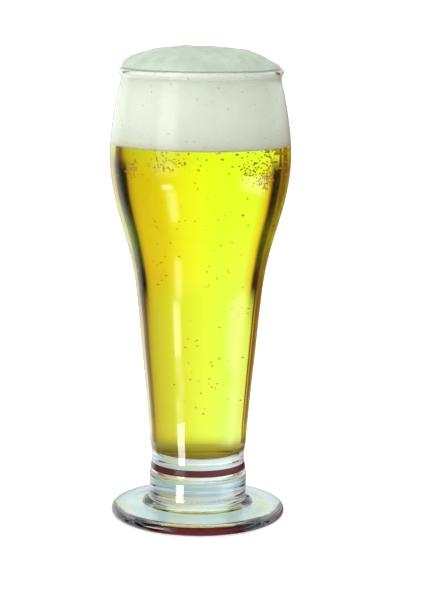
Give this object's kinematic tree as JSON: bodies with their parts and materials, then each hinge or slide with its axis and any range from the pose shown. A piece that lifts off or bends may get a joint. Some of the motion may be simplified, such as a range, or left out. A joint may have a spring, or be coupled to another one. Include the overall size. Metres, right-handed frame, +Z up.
{
  "type": "pilsner glass",
  "caption": "Tall footed pilsner glass with a short stem, a slim tapered shank and a rounded upper bowl, filled with pale beer under a foam head domed over the rim.",
  "frame": {"origin": "centre of the foot's standing ring, on the surface that the glass stands on", "axes": "+Z up along the glass's axis of revolution; the glass is the same all round, so +X and +Y are free"},
  "size_m": [0.0806, 0.0806, 0.2126],
  "materials": {
    "clear_glass": "clear, fire polished",
    "pale_beer": "clear liquid",
    "beer_foam": "fine foam, matte"
  },
  "bodies": {
    "root": {"glass": "clear_glass", "beer": "pale_beer", "foam_head": "beer_foam"}
  },
  "joints": []
}
